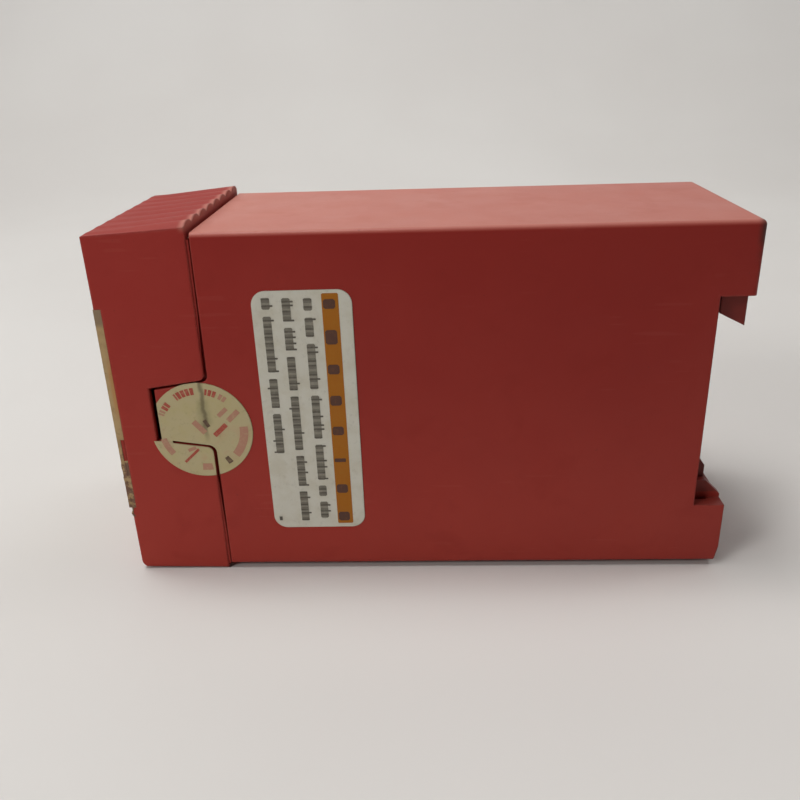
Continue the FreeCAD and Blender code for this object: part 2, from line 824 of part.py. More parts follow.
# Rectifier, varistor, fuse and regulator
rectifier_radius = 4.5
rectifier_rise = 5.5
rectifier_from_rear = 20.0
rectifier_above_floor = 23.0
varistor_radius = 5.0
varistor_wall = 4.0
varistor_from_rear = 30.0
varistor_above_floor = 18.0
fuse_radius = 2.5
fuse_length = 20.0
fuse_from_rear = 6.0
fuse_above_floor = 9.0
fuse_cap_length = 5.0
fuse_clip_wall = 0.5
fuse_clip_mouth = 1.5        # from the fuse's axis to the clips' open side
regulator_length = 10.0
regulator_height = 4.5
regulator_rise = 9.0
regulator_tab_wall = 1.3
regulator_tab_rise = 15.0
regulator_from_rear = 4.0
regulator_above_floor = 21.0

# Chips and couplers, in two rows below the roof
chip_length = 19.0
chip_height = 6.5
chip_rise = 3.5
chip_from_front = 8.0
chip_pitch = 23.0
upper_row_below_roof = 8.7
lower_row_below_roof = 22.7
coupler_length = 6.5
coupler_height = 4.6
coupler_pitch = 9.0
coupler_count = 3

# Resistors and diodes, in columns above the floor
bead_radius = 1.1
bead_pitch = 3.0
bead_above_floor = 4.0
resistor_length = 6.5
resistor_from_front = 41.0
resistor_count = 6
diode_length = 4.6
diode_from_front = 50.0
diode_count = 4


def upright_edges(shape, radius):
    """Round the edges of a part that run straight up from its board."""
    return round_edges(shape, radius, lambda a, b: near(a.x, b.x) and near(a.z, b.z))


def main_relay(index):
    z = inner_top - relay_below_roof - relay_height - index * relay_pitch
    x = x_spigot + relay_from_front
    return upright_edges(on_board(1, x, z, relay_length, relay_height, relay_rise), relay_corner)


def auxiliary_relay():
    x = x_relay_end - small_relay_from_rear - small_relay_length
    return upright_edges(on_board(1, x, inner_bottom + small_relay_above_floor, small_relay_length,
                                  small_relay_height, small_relay_rise), relay_corner)


def core_place():
    """Lower front corner of the transformer's core."""
    return x_main_end - core_from_rear - core_length, inner_top - core_below_roof - core_height


def core_window():
    """Length of each of the two openings in the core, which the coil fills."""
    return (core_length - 4 * core_limb) / 2


def transformer_core():
    """Stacked iron laminations: a frame with a middle limb, held off the board by the coil."""
    x0, z0 = core_place()
    y0 = -y_component + coil_overhang
    y1 = y0 + core_stack
    core = block(x0, x0 + core_length, y0, y1, z0, z0 + core_height)
    front_opening = x0 + core_limb
    rear_opening = x0 + core_length - core_limb - core_window()
    cuts = [block(x, x + core_window(), y0 - over, y1 + over,
                  z0 + core_limb, z0 + core_height - core_limb) for x in (front_opening, rear_opening)]
    return core.cut(cuts)


def transformer_coil():
    """The winding and its bobbin, sealed in tape, around the middle limb."""
    x0, z0 = core_place()
    limb_front = x0 + core_limb + core_window()
    limb_rear = limb_front + 2 * core_limb
    z_low = z0 + core_limb + bobbin_gap
    z_high = z0 + core_height - core_limb - bobbin_gap
    y_low = -y_component
    y_high = y_low + core_stack + 2 * coil_overhang
    coil = block(x0 + core_limb + bobbin_gap, x0 + core_length - core_limb - bobbin_gap,
                 y_low, y_high, z_low, z_high)
    coil = round_edges(coil, coil_corner,
                       lambda a, b: near(a.x, b.x) and near(a.y, y_high) and near(b.y, y_high))
    y_core = y_low + coil_overhang
    passage = block(limb_front, limb_rear, y_core, y_core + core_stack, z_low - over, z_high + over)
    return coil.cut(passage)


def smoothing_capacitor():
    return can(-1, x_spigot + main_can_from_front, inner_bottom + main_can_above_floor,
               main_can_radius, main_can_rise)


def timing_capacitors():
    x = x_spigot + small_can_from_front
    z = inner_bottom + small_can_above_floor
    return Part.makeCompound([can(-1, x + index * small_can_pitch, z, small_can_radius, small_can_rise)
                              for index in range(small_can_count)])


def bridge_rectifier():
    return can(-1, x_main_end - rectifier_from_rear, inner_bottom + rectifier_above_floor,
               rectifier_radius, rectifier_rise)


def varistor():
    x = x_main_end - varistor_from_rear
    return rod(varistor_radius, varistor_wall,
               (x, -y_component + varistor_radius, inner_bottom + varistor_above_floor), (0, 0, 1))


def fuse_start():
    """Front end of the fuse's axis."""
    x = x_main_end - fuse_from_rear - fuse_length
    return x, -y_component + fuse_radius + 2 * fuse_clip_wall, inner_bottom + fuse_above_floor


def fuse():
    return rod(fuse_radius, fuse_length, fuse_start(), (1, 0, 0))


def fuse_clips():
    """Two spring clips: open rings with a foot on the board."""
    x, y, z = fuse_start()
    outer = fuse_radius + fuse_clip_wall
    bore = rod(fuse_radius, fuse_length + 2 * over, (x - over, y, z), (1, 0, 0))
    y_mouth = y + fuse_clip_mouth
    clips = []
    for x_clip in (x, x + fuse_length - fuse_cap_length):
        x_end = x_clip + fuse_cap_length
        ring = rod(outer, fuse_cap_length, (x_clip, y, z), (1, 0, 0))
        foot = block(x_clip, x_end, -y_component, y, z - outer, z + outer)
        mouth = block(x_clip - over, x_end + over, y_mouth, y + 2 * outer, z - outer, z + outer)
        clips.append(ring.fuse(foot).cut([bore, mouth]))
    return Part.makeCompound(clips)


def voltage_regulator():
    x = x_main_end - regulator_from_rear - regulator_length
    z = inner_bottom + regulator_above_floor
    body = on_board(-1, x, z, regulator_length, regulator_height, regulator_rise)
    tab = on_board(-1, x, z, regulator_length, regulator_tab_wall, regulator_tab_rise)
    return body.fuse(tab).removeSplitter()


def logic_chips():
    x = x_spigot + chip_from_front
    upper = inner_top - upper_row_below_roof - chip_height
    lower = inner_top - lower_row_below_roof - chip_height
    return Part.makeCompound([on_board(-1, x_chip, z, chip_length, chip_height, chip_rise)
                              for x_chip, z in ((x, upper), (x, lower), (x + chip_pitch, lower))])


def optocouplers():
    x = x_spigot + chip_from_front + chip_pitch
    z = inner_top - upper_row_below_roof - coupler_height
    return Part.makeCompound([on_board(-1, x + index * coupler_pitch, z,
                                       coupler_length, coupler_height, chip_rise)
                              for index in range(coupler_count)])


def beads(count, from_front, length):
    """A column of small round parts lying on the main board."""
    x = x_spigot + from_front
    y = -y_component + bead_radius
    z = inner_bottom + bead_above_floor
    return Part.makeCompound([rod(bead_radius, length, (x, y, z + index * bead_pitch), (1, 0, 0))
                              for index in range(count)])


# ---------------------------------------------------------------- all nodes
seal_on_cap, seal_on_housing = round_seal_pieces()
nodes = {
    "rear_housing": rear_housing(),
    "front_cap": front_cap(),
    "front_plate": front_plate(),
    "rail_latch": rail_latch(),
    "latch_springs": latch_springs(),
    "side_label": side_label(),
    "seal_on_cap": seal_on_cap,
    "seal_on_housing": seal_on_housing,
    "main_circuit_board": long_board(-1, x_main_end),
    "relay_circuit_board": long_board(1, x_relay_end),
    "terminal_circuit_board": terminal_board(),
    "main_board_header": header(-1),
    "relay_board_header": header(1),
    "terminal_block_upper": terminal_block(1),
    "terminal_block_lower": terminal_block(-1),
    "terminal_cages_upper": terminal_cages(1),
    "terminal_cages_lower": terminal_cages(-1),
    "terminal_screws_upper": terminal_screws(1),
    "terminal_screws_lower": terminal_screws(-1),
    "status_leds": status_leds(),
    "light_pipes": light_pipes(),
    "guided_relay_1": main_relay(1),
    "guided_relay_2": main_relay(0),
    "auxiliary_relay": auxiliary_relay(),
    "transformer_core": transformer_core(),
    "transformer_coil": transformer_coil(),
    "smoothing_capacitor": smoothing_capacitor(),
    "timing_capacitors": timing_capacitors(),
    "bridge_rectifier": bridge_rectifier(),
    "varistor": varistor(),
    "fuse": fuse(),
    "fuse_clips": fuse_clips(),
    "voltage_regulator": voltage_regulator(),
    "logic_chips": logic_chips(),
    "optocouplers": optocouplers(),
    "resistors": beads(resistor_count, resistor_from_front, resistor_length),
    "diodes": beads(diode_count, diode_from_front, diode_length),
}
for name, shape in nodes.items():
    export(name, shape)
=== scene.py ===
"""Looks of the safety relay: materials, printed fields, camera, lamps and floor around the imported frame."""
import json
import math
import random

import bmesh
import bpy
from mathutils import Matrix, Vector


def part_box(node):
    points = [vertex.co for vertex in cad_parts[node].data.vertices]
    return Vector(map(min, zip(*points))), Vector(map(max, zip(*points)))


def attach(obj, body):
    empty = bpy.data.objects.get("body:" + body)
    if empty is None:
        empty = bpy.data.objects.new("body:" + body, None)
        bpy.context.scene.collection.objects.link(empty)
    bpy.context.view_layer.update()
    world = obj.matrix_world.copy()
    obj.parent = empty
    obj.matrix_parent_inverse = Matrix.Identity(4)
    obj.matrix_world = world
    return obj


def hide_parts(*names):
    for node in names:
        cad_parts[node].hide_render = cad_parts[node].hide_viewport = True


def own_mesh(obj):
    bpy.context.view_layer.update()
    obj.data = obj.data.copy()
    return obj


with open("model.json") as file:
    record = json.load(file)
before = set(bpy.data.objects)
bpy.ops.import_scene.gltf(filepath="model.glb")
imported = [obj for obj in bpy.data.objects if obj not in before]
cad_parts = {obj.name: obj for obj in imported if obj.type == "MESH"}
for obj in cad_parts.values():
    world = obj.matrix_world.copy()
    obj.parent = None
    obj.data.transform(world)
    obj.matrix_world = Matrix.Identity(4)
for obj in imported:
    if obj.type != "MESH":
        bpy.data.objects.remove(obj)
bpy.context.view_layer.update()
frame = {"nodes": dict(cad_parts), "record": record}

MM = 0.001
HOUSING = "housing"
X, Y, Z = 0, 1, 2

# Where the parts are, from the frame
CAP_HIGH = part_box("front_cap")[1]
BODY_LOW, BODY_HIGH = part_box("rear_housing")
LABEL_LOW, LABEL_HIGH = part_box("side_label")
PLATE_LOW, PLATE_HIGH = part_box("front_plate")
SEAL_LOW, SEAL_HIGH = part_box("seal_on_housing")
SEAL_CAP_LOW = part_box("seal_on_cap")[0]
SEAM_X = CAP_HIGH.x
SEAL_RADIUS = (SEAL_HIGH.x - SEAL_CAP_LOW.x) / 2

# Tones, as linear colours
RED = (0.300, 0.016, 0.010)
# the lighter reds are painted light, for the foot and the front of the near side
RED_LIGHTER = (0.400, 0.038, 0.024)
CAP_RED = (0.335, 0.024, 0.017)
CAP_RED_LIGHTER = (0.390, 0.040, 0.026)
# the latch reds are darker copies of the housing red, painted shade for the latch deep in the slot
LATCH_SHADED_RED = (0.20, 0.018, 0.013)
LATCH_SHADED_RED_LIGHTER = (0.25, 0.026, 0.018)
# a rubbed tone for real hairlines and edge wear, and for a painted highlight on the edges
RUBBED_AND_HIGHLIGHT = (0.58, 0.15, 0.11)
# a pale tone: dust with a painted sheen on the housing top, and a painted highlight on the cap rim
DUST_AND_SHEEN = (0.77, 0.41, 0.32)
# a dark red for painted shade on the tops of the cap and the latch
SHADED_TOP_RED = (0.16, 0.06, 0.05)
# a dark tone for dirt specks, and for painted shade at the back and in the rail recess
GRIME_AND_SHADE = (0.035, 0.016, 0.012)
LABEL_WHITE = (0.68, 0.66, 0.57)
LABEL_STAIN = (0.61, 0.575, 0.465)
CREAM = (0.53, 0.45, 0.255)
CREAM_STAIN = (0.52, 0.44, 0.22)
SEAL_SMEAR = (0.24, 0.22, 0.10)
# painted shade in the seal's crease
SEAL_CREASE_SHADE = (0.15, 0.12, 0.06)
SEAL_BLUSH = (0.55, 0.30, 0.20)
FILM_TAN = (0.48, 0.32, 0.145)
FILM_STAIN = (0.36, 0.22, 0.085)
FILM_ORANGE = (0.50, 0.22, 0.05)
FILM_GREY = (0.22, 0.15, 0.09)
FILM_TORN = (0.17, 0.075, 0.040)
MASK_GREEN = (0.05, 0.22, 0.09)
TRACK_GREEN = (0.02, 0.12, 0.05)
IRON_DARK = (0.03, 0.03, 0.035)
IRON_PALE = (0.10, 0.10, 0.11)
FLOOR_DULL = (0.63, 0.61, 0.585)
FLOOR_CLEAN = (0.67, 0.655, 0.63)
BACKDROP = (0.66, 0.655, 0.655)
ROOM_PALE = (0.64, 0.635, 0.625)

# Places of the colour sockets on a mix node
MIX_COLOUR_A, MIX_COLOUR_B = 6, 7
MIX_COLOUR_RESULT = 2

RED_SPECULAR = 0.25
PAPER_SPECULAR = 0.3
ACRYLIC_IOR = 1.49


# ---------------------------------------------------------------- materials
def darker(tone, share):
    """A tone with each channel multiplied by a share."""
    return [channel * share for channel in tone]


class Look:
    """One node-based material, built from left to right."""

    def __init__(self, name):
        self.material = bpy.data.materials.new(name)
        self.material.use_nodes = True
        self.nodes = self.material.node_tree.nodes
        self.links = self.material.node_tree.links
        self.shader = self.nodes["Principled BSDF"]
        self.coords = self.nodes.new("ShaderNodeTexCoord").outputs["Object"]

    def put(self, socket, value):
        """Link a socket to another, or set it to a plain value."""
        if isinstance(value, bpy.types.NodeSocket):
            self.links.new(value, socket)
        else:
            socket.default_value = value

    def put_colour(self, socket, value):
        """Link a colour socket, or set it to an opaque tone."""
        self.put(socket, value if isinstance(value, bpy.types.NodeSocket) else (*value, 1.0))

    def stretched(self, scale, lean=0.0):
        """Object coordinates in metres, leant about Y, then multiplied along each axis."""
        mapping = self.nodes.new("ShaderNodeMapping")
        mapping.inputs["Rotation"].default_value = (0, lean, 0)
        mapping.inputs["Scale"].default_value = scale
        self.put(mapping.inputs["Vector"], self.coords)
        return mapping.outputs["Vector"]

    def noise(self, scale, detail=4.0, roughness=0.55, stretch=(1, 1, 1), distortion=0.0, lean=0.0):
        """A cloudy value round 0.5; scale counts its features in a metre."""
        noise = self.nodes.new("ShaderNodeTexNoise")
        noise.inputs["Scale"].default_value = scale
        noise.inputs["Detail"].default_value = detail
        noise.inputs["Roughness"].default_value = roughness
        noise.inputs["Distortion"].default_value = distortion
        self.put(noise.inputs["Vector"], self.stretched(stretch, lean))
        return noise.outputs["Fac"]

    def ramp(self, value, low, high):
        """0 below low, 1 above high, smooth between them."""
        node = self.nodes.new("ShaderNodeMapRange")
        node.interpolation_type = "SMOOTHSTEP"
        self.put(node.inputs["Value"], value)
        node.inputs["From Min"].default_value = low
        node.inputs["From Max"].default_value = high
        return node.outputs["Result"]

    def span(self, value, out_low, out_high, low=0.3, high=0.7):
        """Carry a value from its own range into another."""
        node = self.nodes.new("ShaderNodeMapRange")
        self.put(node.inputs["Value"], value)
        node.inputs["From Min"].default_value = low
        node.inputs["From Max"].default_value = high
        node.inputs["To Min"].default_value = out_low
        node.inputs["To Max"].default_value = out_high
        return node.outputs["Result"]

    def math(self, operation, a, b=0.0):
        node = self.nodes.new("ShaderNodeMath")
        node.operation = operation
        self.put(node.inputs[0], a)
        self.put(node.inputs[1], b)
        return node.outputs[0]

    def times(self, first, *others):
        """The product of masks and numbers."""
        product = first
        for other in others:
            product = self.math("MULTIPLY", product, other)
        return product

    def without(self, mask):
        """1 where a mask is 0, and 0 where it is 1."""
        return self.math("SUBTRACT", 1.0, mask)

    def mix(self, factor, a, b):
        """Blend two colours."""
        node = self.nodes.new("ShaderNodeMix")
        node.data_type = "RGBA"
        self.put(node.inputs["Factor"], factor)
        self.put_colour(node.inputs[MIX_COLOUR_A], a)
        self.put_colour(node.inputs[MIX_COLOUR_B], b)
        return node.outputs[MIX_COLOUR_RESULT]

    def tint(self, colour, tone, mask, share):
        """Carry a colour towards a tone, by a share of a mask."""
        return self.mix(self.times(mask, share), colour, tone)

    def axis(self, index):
        """One of the object coordinates, in metres."""
        node = self.nodes.new("ShaderNodeSeparateXYZ")
        self.put(node.inputs[0], self.coords)
        return node.outputs[index]

    def facing(self, index):
        """How far the surface faces along an axis, from 0 to 1."""
        geometry = self.nodes.new("ShaderNodeNewGeometry")
        node = self.nodes.new("ShaderNodeSeparateXYZ")
        self.put(node.inputs[0], geometry.outputs["True Normal"])
        return self.math("MAXIMUM", node.outputs[index], 0.0)

    def scratches(self, lean, scale, cover):
        """Sparse straight hairlines: crests of a noise drawn out along one leaning direction."""
        drawn = self.noise(scale, detail=0.0, roughness=0.0, stretch=(0.06, 1, 1), lean=lean)
        crest = self.ramp(drawn, 0.70, 0.76)
        patch = self.ramp(self.noise(scale * 0.08, detail=2.0, roughness=0.5), cover, cover + 0.08)
        return self.times(crest, patch)

    def stretch_of(self, index, low, high, blur):
        """1 between two places along an axis, fading to 0 over a short way outside them."""
        place = self.axis(index)
        rising = self.ramp(place, low - blur, low)
        return self.times(rising, self.without(self.ramp(place, high, high + blur)))

    def edges(self, radius):
        """Near 1 within a radius of a sharp edge, and the softened normal there."""
        bevel = self.nodes.new("ShaderNodeBevel")
        bevel.samples = 6
        bevel.inputs["Radius"].default_value = radius
        geometry = self.nodes.new("ShaderNodeNewGeometry")
        dot = self.nodes.new("ShaderNodeVectorMath")
        dot.operation = "DOT_PRODUCT"
        self.put(dot.inputs[0], bevel.outputs["Normal"])
        self.put(dot.inputs[1], geometry.outputs["Normal"])
        return self.ramp(self.without(dot.outputs["Value"]), 0.02, 0.22), bevel.outputs["Normal"]

    def bump(self, height, strength, distance, normal=None):
        node = self.nodes.new("ShaderNodeBump")
        node.inputs["Strength"].default_value = strength
        node.inputs["Distance"].default_value = distance
        self.put(node.inputs["Height"], height)
        if normal is not None:
            self.put(node.inputs["Normal"], normal)
        return node.outputs["Normal"]

    def finish(self, colour, roughness, normal=None, metallic=0.0, **plain):
        """Join colour, roughness and normal to the shader, and return the material."""
        self.put_colour(self.shader.inputs["Base Color"], colour)
        self.put(self.shader.inputs["Roughness"], roughness)
        self.shader.inputs["Metallic"].default_value = metallic
        if normal is not None:
            self.put(self.shader.inputs["Normal"], normal)
        for socket, value in plain.items():
            self.shader.inputs[socket.replace("_", " ")].default_value = value
        return self.material


def dimming(look, back):
    """Share of the painted lighter tone, painted light that grows from the top edge down to the foot, in
    drifts, and less towards the back.
    """
    down = look.span(look.axis(Z), 1.0, 0.0, BODY_LOW.z, BODY_HIGH.z)
    drift = look.span(look.noise(30), -0.22, 0.22)
    grown = look.math("SUBTRACT", look.math("ADD", down, drift), look.times(back, 0.15))
    return look.math("MAXIMUM", grown, 0.0)


def upper_face_mask(look, back, share):
    """Where the painted top tone goes: the high faces that look up, a little less at the back."""
    top = look.times(look.facing(Z), look.span(look.noise(95, detail=5), 0.85 * share, share))
    top = look.times(top, look.span(back, 1.0, 0.72, 0.0, 1.0))
    return look.times(top, look.ramp(look.axis(Z), BODY_HIGH.z - 20 * MM, BODY_HIGH.z - 10 * MM))


def dark_back_corner(look):
    """A darker patch on the top near corner at the back."""
    at_back = look.ramp(look.axis(X), BODY_HIGH.x - 1.9 * MM, BODY_HIGH.x - 0.5 * MM)
    at_top = look.ramp(look.axis(Z), BODY_HIGH.z - 9 * MM, BODY_HIGH.z - 2 * MM)
    near = look.span(look.axis(Y), 1.0, 0.0, BODY_LOW.y + 0.6 * MM, BODY_LOW.y + 2.5 * MM)
    return look.times(at_back, at_top, near, look.ramp(look.noise(260, detail=5), 0.30, 0.52))


def rail_recess_shade(look):
    """Painted shade on the walls and the shelf of the rail recess, which little light reaches."""
    shelf = look.times(look.facing(Z),
                       look.stretch_of(Z, BODY_LOW.z + 2 * MM, BODY_HIGH.z - 20 * MM, 5 * MM))
    walls = look.stretch_of(Z, BODY_LOW.z + 15 * MM, BODY_HIGH.z - 14.2 * MM, 0.1 * MM)
    inside = look.ramp(look.axis(X), BODY_HIGH.x - 6.8 * MM, BODY_HIGH.x - 6.4 * MM)
    return look.times(look.math("MAXIMUM", shelf, walls), inside)


def cap_crest_highlight(look):
    """A painted highlight on the top rim of the cap, along the seam."""
    return look.times(look.ramp(look.axis(X), SEAM_X - 1.6 * MM, SEAM_X - 0.4 * MM),
                      look.ramp(look.axis(Z), CAP_HIGH.z - 2.2 * MM, CAP_HIGH.z - 0.5 * MM))


def moulded_red(name, base, lighter_tone, top_tone, top_share, roughness, grain, worn_and_lit_edge):
    """Aged red plastic: grain, blotches, hairlines, dirt specks and rubbed edges with a painted highlight, a
    darker patch at the back corner, and painted light: lighter low and at the front, darker at the back and
    in the rail recess, a highlight on the cap rim, and a top tone of dust with sheen on the housing and of
    shade on the cap and the latch.
    """
    look = Look(name)
    edge, soft_normal = look.edges(worn_and_lit_edge)
    back = look.span(look.axis(X), 0.0, 1.0, SEAM_X, BODY_HIGH.x)
    blotch = look.ramp(look.noise(120, detail=5, roughness=0.6, distortion=0.4), 0.5, 0.75)
    lines = look.math("ADD", look.scratches(lean=0.5, scale=900, cover=0.52),
                      look.scratches(lean=-0.9, scale=1200, cover=0.56))
    wear_and_highlight = look.times(edge, look.ramp(look.noise(420, detail=3), 0.42, 0.62))
    speckle = look.ramp(look.noise(1500, detail=2), 0.72, 0.78)
    # painted light: lighter towards the foot and the front
    colour = look.mix(dimming(look, back), base, lighter_tone)
    # painted shade: darker towards the back
    colour = look.tint(colour, GRIME_AND_SHADE, mask=back, share=0.16)
    colour = look.tint(colour, darker(base, 0.72), mask=blotch, share=0.22)
    colour = look.tint(colour, RUBBED_AND_HIGHLIGHT, mask=lines, share=0.06)
    # rubbed edges, with a painted highlight
    colour = look.tint(colour, RUBBED_AND_HIGHLIGHT, mask=wear_and_highlight, share=0.30)
    # the top tone: dust with a painted sheen on the housing, painted shade on the cap and the latch
    colour = look.mix(upper_face_mask(look, back, top_share), colour, top_tone)
    colour = look.tint(colour, GRIME_AND_SHADE, mask=speckle, share=0.35)
    colour = look.tint(colour, GRIME_AND_SHADE, mask=dark_back_corner(look), share=0.8)
    # painted shade in the rail recess
    colour = look.tint(colour, GRIME_AND_SHADE, mask=rail_recess_shade(look), share=0.42)
    # painted highlight on the cap's top rim
    colour = look.tint(colour, DUST_AND_SHEEN, mask=cap_crest_highlight(look), share=0.30)
    shine = look.math("ADD", look.span(look.noise(70), roughness - 0.05, roughness + 0.06),
                      look.times(blotch, 0.06))
    height = look.math("SUBTRACT", look.noise(3000, detail=2, roughness=0.6), look.times(lines, 0.2))
    return look.finish(colour, shine, look.bump(height, grain, 0.05 * MM, soft_normal),
                       Specular_IOR_Level=RED_SPECULAR)


def aged_paper(look, base, stain, dirt_share):
    """The tone and the normal of printed paper or film: stains, fibres, specks of dirt and a darker rim, dirt
    with painted shade along the edge.
    """
    edge, soft_normal = look.edges(0.25 * MM)
    dirt = look.ramp(look.noise(900, roughness=0.65), 0.56, 0.72)
    fibres = look.noise(2600, detail=3, roughness=0.7, stretch=(1, 1, 0.35))
    colour = look.mix(look.ramp(look.noise(220, detail=5, roughness=0.6), 0.4, 0.75), base, stain)
    colour = look.tint(colour, darker(stain, 0.55), mask=dirt, share=dirt_share)
    # darker rim: dirt, with painted shade along the edge
    colour = look.tint(colour, darker(stain, 0.6), mask=edge, share=0.35)
    return colour, look.bump(fibres, 0.25, 0.03 * MM, soft_normal)


def label_paper():
    """White paper of the side label, a little grey and stained."""
    look = Look("label_white")
    colour, normal = aged_paper(look, LABEL_WHITE, LABEL_STAIN, 0.20)
    return look.finish(colour, look.span(look.noise(300), 0.42, 0.6), normal,
                       Specular_IOR_Level=PAPER_SPECULAR)


def seal_paper():
    """Cream paper, with a crease down the middle where the seal crosses the seam, darkened by painted shade.
    """
    look = Look("seal_cream")
    colour, normal = aged_paper(look, CREAM, CREAM_STAIN, 0.30)
    middle = SEAL_HIGH.x - SEAL_RADIUS + 0.8 * MM
    top = SEAL_HIGH.z
    wander = look.times(look.math("SUBTRACT", look.noise(300, detail=3), 0.5), 1.6 * MM)
    away = look.math("ABSOLUTE", look.math("SUBTRACT", look.math("ADD", look.axis(X), wander), middle))
    crease = look.times(look.without(look.ramp(away, 0.1 * MM, 0.7 * MM)),
                        look.ramp(look.axis(Z), top - 14 * MM, top - 9 * MM))
    smear = look.times(look.without(look.ramp(away, 0.4 * MM, 1.9 * MM)),
                       look.stretch_of(Z, top - 8.5 * MM, top - 4.5 * MM, 1.5 * MM))
    blush = look.times(look.ramp(look.noise(330, detail=3), 0.5, 0.7),
                       look.stretch_of(Z, SEAL_LOW.z + 4 * MM, SEAL_LOW.z + 9 * MM, 3 * MM))
    colour = look.tint(colour, SEAL_SMEAR, mask=smear, share=0.45)
    # painted shade in the crease
    colour = look.tint(colour, SEAL_CREASE_SHADE, mask=crease, share=0.75)
    colour = look.tint(colour, SEAL_BLUSH, mask=blush, share=0.35)
    return look.finish(colour, look.span(look.noise(300), 0.42, 0.6), normal,
                       Specular_IOR_Level=PAPER_SPECULAR)


def plate_film():
    """Yellowed film on the front plate: grey at the top, orange midway, torn and brown below the chip."""
    look = Look("plate_tan")
    colour, normal = aged_paper(look, FILM_TAN, FILM_STAIN, 0.5)
    orange = look.times(look.stretch_of(Z, PLATE_HIGH.z - 19 * MM, PLATE_HIGH.z - 14 * MM, 6 * MM),
                        look.ramp(look.axis(X), PLATE_LOW.x + 0.4 * MM, PLATE_HIGH.x - 0.3 * MM))
    grey = look.ramp(look.axis(Z), PLATE_HIGH.z - 4 * MM, PLATE_HIGH.z - 2.5 * MM)
    low_down = look.without(look.ramp(look.axis(Z), PLATE_LOW.z + 11 * MM, PLATE_LOW.z + 17 * MM))
    frayed = look.ramp(look.noise(700, roughness=0.65), 0.40, 0.56)
    near = look.span(look.axis(Y), 1.0, 0.12, PLATE_LOW.y + 0.6 * MM, PLATE_LOW.y + 3 * MM)
    colour = look.tint(colour, FILM_ORANGE, mask=orange, share=0.7)
    colour = look.tint(colour, FILM_GREY, mask=grey, share=0.8)
    colour = look.mix(look.times(low_down, frayed, near), colour, FILM_TORN)
    return look.finish(colour, look.span(look.noise(300), 0.4, 0.55), normal)


def ink(name, colour, worn):
    """A printed field, thin in places."""
    look = Look(name)
    lighter_tone = [c + (w - c) * 0.35 for c, w in zip(colour, worn)]
    tone = look.mix(look.ramp(look.noise(1300, roughness=0.7), 0.48, 0.7), colour, lighter_tone)
    return look.finish(tone, look.span(look.noise(500), 0.45, 0.6), Specular_IOR_Level=PAPER_SPECULAR)


def plain_plastic(name, base, roughness):
    """Moulded plastic or lacquer, with slight drifts of tone and paler edges, a painted highlight."""
    look = Look(name)
    edge, soft_normal = look.edges(0.2 * MM)
    pale = [min(1.0, channel * 1.5 + 0.03) for channel in base]
    colour = look.mix(look.ramp(look.noise(160), 0.35, 0.7), base, darker(base, 0.85))
    # paler edges: a painted highlight
    colour = look.tint(colour, pale, mask=edge, share=0.25)
    shine = look.span(look.noise(240), roughness - 0.05, roughness + 0.08)
    return look.finish(colour, shine, look.bump(look.noise(2400, detail=2), 0.15, 0.03 * MM, soft_normal))


def plated_metal(name, base, roughness):
    """Drawn or plated metal, with fine lines and dull spots."""
    look = Look(name)
    colour = look.mix(look.ramp(look.noise(700), 0.45, 0.7), base, darker(base, 0.7))
    lines = look.noise(900, detail=3, roughness=0.6, stretch=(0.15, 1, 4))
    shine = look.span(look.noise(1200, detail=3), roughness - 0.08, roughness + 0.12)
    return look.finish(colour, shine, look.bump(lines, 0.2, 0.02 * MM), metallic=1.0)


def solder_mask(name):
    """Green circuit board with faint tracks under the lacquer."""
    look = Look(name)
    drawn = look.noise(330, detail=0, roughness=0.0, stretch=(1, 1, 3))
    tracks = look.ramp(look.math("ABSOLUTE", look.math("SUBTRACT", drawn, 0.5)), 0.01, 0.03)
    colour = look.mix(tracks, MASK_GREEN, TRACK_GREEN)
    return look.finish(colour, look.span(look.noise(300), 0.3, 0.4), look.bump(tracks, 0.3, 0.03 * MM))


def laminations(name):
    """Stacked iron sheets, seen as fine lines across the stack."""
    look = Look(name)
    wave = look.nodes.new("ShaderNodeTexWave")
    wave.bands_direction = "Y"
    wave.inputs["Scale"].default_value = 320
    look.put(wave.inputs["Vector"], look.coords)
    sheets = wave.outputs["Fac"]
    return look.finish(look.mix(sheets, IRON_DARK, IRON_PALE), look.span(look.noise(400), 0.4, 0.6),
                       look.bump(sheets, 0.4, 0.05 * MM))


def clear_part(name, tint, roughness, transmission):
    """Clear or tinted plastic or glass, slightly clouded."""
    look = Look(name)
    colour = look.mix(look.ramp(look.noise(500), 0.4, 0.7), tint, darker(tint, 0.85))
    return look.finish(colour, look.span(look.noise(300), roughness, roughness + 0.1),
                       Transmission_Weight=transmission, IOR=ACRYLIC_IOR)


INK_BLACK = ink("ink_black", (0.115, 0.100, 0.080), worn=(0.26, 0.24, 0.19))
INK_GREY = ink("ink_grey", (0.18, 0.165, 0.13), worn=(0.30, 0.28, 0.22))
INK_PALE = ink("ink_pale", (0.27, 0.25, 0.20), worn=(0.40, 0.37, 0.30))
INK_ORANGE = ink("ink_orange", (0.39, 0.130, 0.002), worn=(0.39, 0.165, 0.010))
INK_UMBER = ink("ink_umber", (0.095, 0.040, 0.026), worn=(0.20, 0.075, 0.02))
INK_RED = ink("ink_red", (0.42, 0.08, 0.05), worn=(0.60, 0.36, 0.24))
INK_PINK = ink("ink_pink", (0.48, 0.24, 0.16), worn=CREAM)
INK_BROWN = ink("ink_brown", (0.12, 0.07, 0.045), worn=(0.45, 0.34, 0.18))

